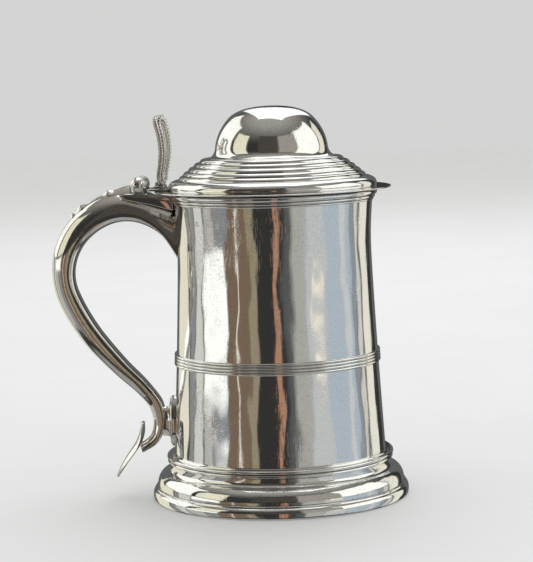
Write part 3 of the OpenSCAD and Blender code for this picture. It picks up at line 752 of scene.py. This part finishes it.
# the bar's section: how far out from its middle line, and how deep behind the front
barSection = [(-1.70, 0.45), (-1.62, 0.22), (-1.45, 0.12), (-1.20, 0.12), (-1.05, 0.25),
              (-0.85, 0.55), (0, 0.62), (0.85, 0.55), (1.05, 0.25), (1.20, 0.12), (1.45, 0.12),
              (1.62, 0.22), (1.70, 0.45), (1.66, 0.72), (1.42, 0.88), (1.36, 1.15), (1.42, 1.42),
              (1.66, 1.58), (1.72, 1.85), (1.60, 2.08), (1.2, 2.18), (0, 2.22), (-1.2, 2.18),
              (-1.60, 2.08), (-1.72, 1.85), (-1.66, 1.58), (-1.42, 1.42), (-1.36, 1.15),
              (-1.42, 0.88), (-1.66, 0.72)]


def thumbFront(y, h):
    bent = spline(thumb["front"], h / thumb["height"] * (len(thumb["front"]) - 1))
    return bent + thumb["sweep"] * (y / thumb["half"]) ** 2


def eyeAt(u, out):
    bend, reach = math.pi * thumb["eyeRadius"], thumb["eyeRadius"] + out
    s, straight = u * 2 * (thumb["eyeSide"] + bend), thumb["eyeSide"]
    if s < straight:
        y, z = reach, s - straight / 2
    elif s < straight + bend:
        a = (s - straight) / thumb["eyeRadius"]
        y, z = reach * math.cos(a), straight / 2 + reach * math.sin(a)
    elif s < 2 * straight + bend:
        y, z = -reach, straight / 2 - (s - straight - bend)
    else:
        a = math.pi + (s - 2 * straight - bend) / thumb["eyeRadius"]
        y, z = reach * math.cos(a), -straight / 2 + reach * math.sin(a)
    h = thumb["eyeMiddle"] + z
    return (thumb["eyeOut"] + y) * (thumb["narrow"] + thumb["widen"] * h / thumb["height"]), h


def eyePoint(u, out, deep, side):
    y, h = eyeAt(u, out)
    return (-(thumbFront(y, h) + deep), side * y, thumb["base"] + h)


framePoints, frameFaces = [], []
for side in (1, -1):
    first = len(framePoints)
    around = len(barSection)
    for i in range(thumb["stations"]):
        framePoints += [eyePoint(i / thumb["stations"], out, deep, side) for out, deep in barSection]
    for i in range(thumb["stations"]):
        k = (i + 1) % thumb["stations"]
        for j in range(around):
            l = (j + 1) % around
            frameFaces.append(tuple(first + n for n in (i * around + j, i * around + l,
                                                        k * around + l, k * around + j)))
thumbFrame = meshed("thumbFrame", framePoints, frameFaces, castSilver)
stand(thumbFrame, "lid", "reeded_silver", "thumb_frame")

# beads strung along the eyes
beadTree, given = newTree("beading", [("Count", "Int", 40), ("Diameter", "Float", 0.0015),
                                      ("Finish", "Material", None)])
string = Wire.make(beadTree, "GeometryNodeMeshToCurve", None, {"Mesh": given["Geometry"]})
seats = Wire.make(beadTree, "GeometryNodeCurveToPoints", {"mode": "COUNT"},
                  {"Curve": string, "Count": given["Count"]})
bead = Wire.make(beadTree, "GeometryNodeMeshUVSphere", None,
                 {"Segments": 14, "Rings": 9, "Radius": given["Diameter"] * 0.5})
strung = Wire.make(beadTree, "GeometryNodeInstanceOnPoints", None,
                   {"Points": seats, "Instance": bead})
ended(beadTree, strung, given["Finish"])


def beading(name, out, deep, count, width):
    runs = [[Vector(eyePoint(i / 200, out, deep, side)) * mm for i in range(200)]
            for side in (1, -1)]
    return grown(polylines(name, runs, True), beadTree,
                 {"Count": count, "Diameter": width * mm, "Finish": castSilver}, castSilver)


thumbBeads = beading("thumbBeads", 0, 0.1, thumb["beads"], thumb["bead"])
stand(thumbBeads, "lid", "reeded_silver", "thumb_beads")
# finer beading down both arrises of the bar
for name, deep in [("thumbBeadsFront", 0.45), ("thumbBeadsBack", 1.82)]:
    stand(beading(name, 1.6, deep, thumb["fineBeads"], thumb["fineBead"]), "lid", "reeded_silver",
          "thumb_beads")


def block(low, high):
    (x0, y0), (x1, y1) = low, high
    return [(x0, y0), (x1, y0), (x1, y1), (x0, y1)]


stepsUnder = [((-58.4, -6.5), (-53.2, 6.5), 0, 1.4), ((-57.7, -5.2), (-53.9, 5.2), 1.3, 3.3)]
parts = [prism("thumbFoot", block(low, high), thumb["base"] + z0, thumb["base"] + z1, castSilver,
               0.35, axis="Z") for low, high, z0, z1 in stepsUnder]
bm = bmesh.new()
for part in parts:
    bm.from_mesh(part.data)
bm.to_mesh(parts[0].data)
bm.free()
bpy.data.objects.remove(parts[1])
settled(parts[0], castSilver)
stand(parts[0], "lid", "reeded_silver", "thumb_foot")
print("stage: thumbpiece made")

# floor
floorMat = bpy.data.materials.new("paleFloor")
floorMat.use_nodes = True
tree = floorMat.node_tree
tree.nodes.clear()
place = Wire.make(tree, "ShaderNodeTexCoord", out=3)
mottle = noise(tree, place, (9, 9, 9), detail=4.0)
tone = mottle.dyed((0.74, 0.74, 0.735, 1), (0.80, 0.80, 0.795, 1))
skin = Wire.make(tree, "ShaderNodeBsdfPrincipled", None,
                 {"Base Color": tone, "Roughness": 0.75, "Specular IOR Level": 0.3})
Wire.make(tree, "ShaderNodeOutputMaterial", None, {"Surface": skin})
floorHalf = 4.0
floorMesh = bpy.data.meshes.new("floor")
floorMesh.from_pydata([(x, y, 0) for x, y in block((-floorHalf, -floorHalf),
                                                   (floorHalf, floorHalf))],
                      [], [(0, 1, 2, 3)])
floorMesh.materials.append(floorMat)
floor = bpy.data.objects.new("floor", floorMesh)
scene.collection.objects.link(floor)
floor.visible_glossy = False      # the silver mirrors the first of the cards below instead
floor.visible_shadow = False

# camera
shot = {"distance": 1.0, "height": 0.2122, "azimuth": 4.0, "down": 6.01, "aside": 0.25,
        "roll": -1.7, "lens": 129.8}
turn = math.radians(shot["azimuth"])
camData = bpy.data.cameras.new("camera")
camData.lens, camData.sensor_width = shot["lens"], 36
camera = bpy.data.objects.new("camera", camData)
camera.location = (shot["distance"] * math.sin(turn), -shot["distance"] * math.cos(turn),
                   shot["height"])
camera.rotation_euler = (Matrix.Rotation(turn + math.radians(shot["aside"]), 3, "Z")
                         @ Matrix.Rotation(math.radians(90 - shot["down"]), 3, "X")
                         @ Matrix.Rotation(math.radians(shot["roll"]), 3, "Z")).to_euler()
scene.collection.objects.link(camera)
scene.camera = camera

# studio
# soft cards all round, seen only in reflections: azimuth from and to, elevation from and to,
# softness, colour of the light that they send
cards = [
    (-190, 190, -100, -42, 12, (0.34, 0.34, 0.335)),    # the table, which steep views look down on
    (-180, -152, -40, 30, 4, (0.12, 0.125, 0.127)), (152, 180, -40, 30, 4, (0.12, 0.125, 0.127)),
    # on the left: a lit strip, a grey return and the tall window with its sill
    (-152, -120, -34, 4, 3, (0.82, 0.78, 0.64)), (-117, -108, -34, 4, 2, (0.26, 0.27, 0.27)),
    (-107, -94, -34, 4, 2, (0.66, 0.66, 0.62)), (-92, -74, -34, -4.6, 4, (0.48, 0.47, 0.44)),
    (-74, -56, -34, -4.6, 4, (0.25, 0.26, 0.27)), (-92, -57, -4.8, 4, 4, (1.15, 1.17, 1.12)),
    (-150, -94, 5, 46, 3, (1.12, 1.12, 1.06)), (-86, -54, 6, 38, 2, (0.84, 0.82, 0.64)),
    # in front: a brown curtain with a gap of light, a tan wall and a strip of wood
    (-56, -32, -34, 2.0, 2, (0.19, 0.135, 0.092)), (-44.6, -43, -34, 2.0, 1, (0.85, 0.80, 0.72)),
    (-32, -23, -34, 2.0, 2, (0.31, 0.265, 0.18)), (-2, 4, -34, 2.0, 1.5, (0.42, 0.235, 0.155)),
    (-28, 16, 6, 42, 2, (0.07, 0.062, 0.054)),
    # on the right: the broad window in its panes, and a lamp
    (9, 24, -34, 3, 7, (0.10, 0.105, 0.105)), (20, 37, -34, 3, 8, (0.42, 0.42, 0.39)),
    (36, 64, -34, 3, 9, (0.54, 0.56, 0.56)), (60, 100, -34, 4, 7, (0.44, 0.51, 0.57)),
    (45, 56, -2.2, 3, 2, (1.0, 0.93, 0.76)), (84, 92, -34, 3, 4, (0.60, 0.62, 0.62)),
    (16, 56, 3, 40, 6, (0.34, 0.32, 0.29)), (56, 116, 5, 44, 3, (1.15, 1.15, 1.08)),
    (99, 107, -34, 3, 3, (0.28, 0.31, 0.34)), (108, 115, -34, 4, 3, (0.66, 0.65, 0.60)),
    (116, 119, -34, 4, 2, (0.18, 0.19, 0.19)), (119, 138, -34, 30, 3, (0.84, 0.82, 0.72))]
world = bpy.data.worlds.new("studio")
world.use_nodes = True
world.cycles.sampling_method = "NONE"
scene.world = world
tree = world.node_tree
tree.nodes.clear()
ray = Wire.make(tree, "ShaderNodeTexCoord", out=0)
bearing, up = bearingAndUp(tree, ray)
degree = 180 / math.pi
azimuth = bearing * degree - shot["azimuth"]
elevation = up.sums("ARCSINE", up, 0.0) * degree
lit = elevation.between(20, 76).dyed((0.036, 0.035, 0.034, 1), (0.36, 0.345, 0.32, 1))
for fromAz, toAz, fromEl, toEl, soft, colour in cards:
    mask = (azimuth.between(fromAz - soft / 2, fromAz + soft / 2)
            * azimuth.between(toAz + soft / 2, toAz - soft / 2)
            * elevation.between(fromEl - soft / 4, fromEl + soft / 4)
            * elevation.between(toEl + soft / 4, toEl - soft / 4))
    lit = mask.dyed(lit, (*colour, 1))
# matt surfaces and the camera see plain skies in place of the cards
toCamera = Wire.make(tree, "ShaderNodeLightPath", out=0)
toMatt = Wire.make(tree, "ShaderNodeLightPath", out=2)
sky = toMatt.dyed(lit, (0.90, 0.90, 0.895, 1))
sky = toCamera.dyed(sky, (0.655, 0.655, 0.651, 1))
glow = Wire.make(tree, "ShaderNodeBackground", None, {"Color": sky, "Strength": 1.0})
Wire.make(tree, "ShaderNodeOutputWorld", None, {"Surface": glow})


def softbox(name, place, aim, width, height, glowing, tint):
    data = bpy.data.lights.new(name, "AREA")
    data.shape, data.size, data.size_y = "RECTANGLE", width, height
    data.energy = glowing * math.pi * width * height
    data.color = tint
    lamp = bpy.data.objects.new(name, data)
    lamp.location = place
    lamp.rotation_euler = (Vector(aim) - Vector(place)).to_track_quat("-Z", "Y").to_euler()
    lamp.visible_camera = False
    scene.collection.objects.link(lamp)


softbox("topLight", (0.06, 0.80, 1.45), (0, 0, 0.1), 1.1, 2.2, 1.15, (0.95, 0.985, 1.0))
scene.view_settings.view_transform = "Standard"
print("stage: studio lit")
